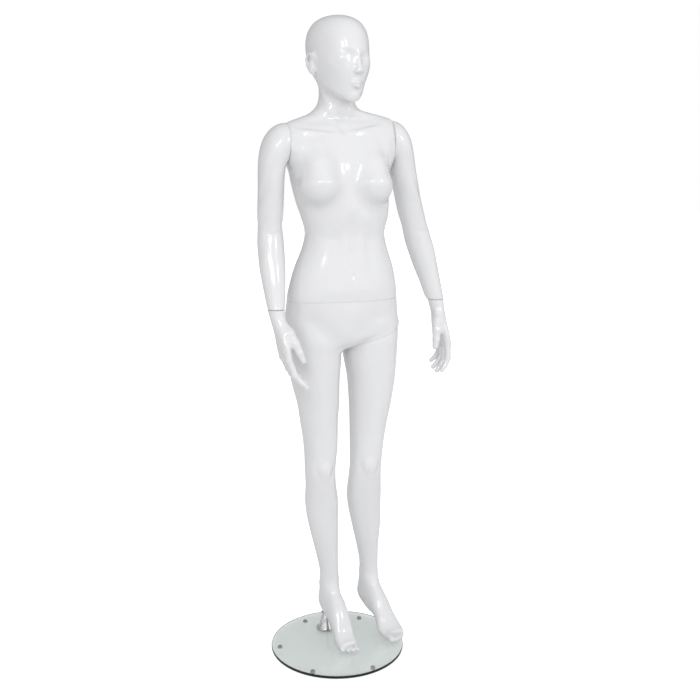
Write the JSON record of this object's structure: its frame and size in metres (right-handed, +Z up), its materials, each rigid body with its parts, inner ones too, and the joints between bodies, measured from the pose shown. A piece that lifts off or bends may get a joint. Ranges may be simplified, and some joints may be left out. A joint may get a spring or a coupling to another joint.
{
  "type": "full body mannequin",
  "caption": "Standing full body display mannequin, glossy white with removable arms, hands, torso and leg, on a chrome heel spigot and round glass base.",
  "frame": {"origin": "centre of the round glass base, on the floor under its bumpers", "axes": "+Z up, the figure faces -Y and its left side is +X"},
  "size_m": [0.5566, 0.38, 1.754],
  "materials": {
    "moulded_white": "high gloss white lacquer",
    "fitting_steel": "zinc plated steel",
    "chrome_plate": "polished chrome",
    "tempered_glass": "polished tempered glass",
    "clear_bumper": "clear soft plastic",
    "gasket_rubber": "matt rubber"
  },
  "bodies": {
    "base": {"glass_disc": "tempered_glass", "bumpers": "clear_bumper", "gasket": "gasket_rubber", "chrome_cone": "chrome_plate", "base_washer": "fitting_steel", "base_bolt": "chrome_plate"},
    "set_screw": {"set_screw": "chrome_plate"},
    "spigot": {"spigot_rod": "chrome_plate"},
    "hips": {"lower_body": "moulded_white", "lower_screws": "fitting_steel", "waist_bottom_plate": "fitting_steel", "waist_stud": "fitting_steel", "thigh_socket": "fitting_steel", "heel_socket": "fitting_steel"},
    "left_leg": {"left_leg": "moulded_white", "leg_screws": "fitting_steel", "thigh_plug": "fitting_steel"},
    "torso": {"torso": "moulded_white", "torso_screws": "fitting_steel", "waist_top_plate": "fitting_steel", "right_shoulder_socket": "fitting_steel", "left_shoulder_socket": "fitting_steel"},
    "right_arm": {"right_arm": "moulded_white", "right_arm_screws": "fitting_steel", "right_shoulder_plug": "fitting_steel", "right_wrist_socket": "fitting_steel"},
    "left_arm": {"left_arm": "moulded_white", "left_arm_screws": "fitting_steel", "left_shoulder_plug": "fitting_steel", "left_wrist_socket": "fitting_steel"},
    "right_hand": {"right_hand": "moulded_white", "right_wrist_plug": "fitting_steel"},
    "left_hand": {"left_hand": "moulded_white", "left_wrist_plug": "fitting_steel"}
  },
  "joints": [
    {"name": "set_screw_turn", "type": "hinge", "parent": "base", "child": "set_screw", "pos_m": [-0.002, 0.09, 0.066], "axis": [-1, 0, 0], "continuous": true},
    {"name": "swivel", "type": "hinge", "parent": "base", "child": "spigot", "pos_m": [-0.002, 0.09, 0.074], "axis": [0, 0, 1], "continuous": true},
    {"name": "lift_off", "type": "slide", "parent": "spigot", "child": "hips", "axis": [0, 0, 1], "range_m": [0, 0.08]},
    {"name": "waist_twist", "type": "hinge", "parent": "hips", "child": "torso", "pos_m": [0.031, 0.035, 1.012], "axis": [0, 0, 1], "range_deg": [0, 30]},
    {"name": "thigh_twist", "type": "hinge", "parent": "hips", "child": "left_leg", "pos_m": [0.115, 0.036, 0.907], "axis": [-0.2756, 0, 0.9613], "range_deg": [0, 20]},
    {"name": "right_shoulder", "type": "hinge", "parent": "torso", "child": "right_arm", "pos_m": [-0.124, 0.042, 1.426], "axis": [-1, 0, 0], "range_deg": [0, 70]},
    {"name": "left_shoulder", "type": "hinge", "parent": "torso", "child": "left_arm", "pos_m": [0.172, 0.042, 1.438], "axis": [-1, 0, 0], "range_deg": [-20, 70]},
    {"name": "right_wrist", "type": "hinge", "parent": "right_arm", "child": "right_hand", "pos_m": [-0.1782, -0.023, 0.998], "axis": [0, 0, 1], "range_deg": [-45, 0]},
    {"name": "left_wrist", "type": "hinge", "parent": "left_arm", "child": "left_hand", "pos_m": [0.3202, 0.036, 0.996], "axis": [0, 0, 1], "range_deg": [-45, 45]}
  ]
}
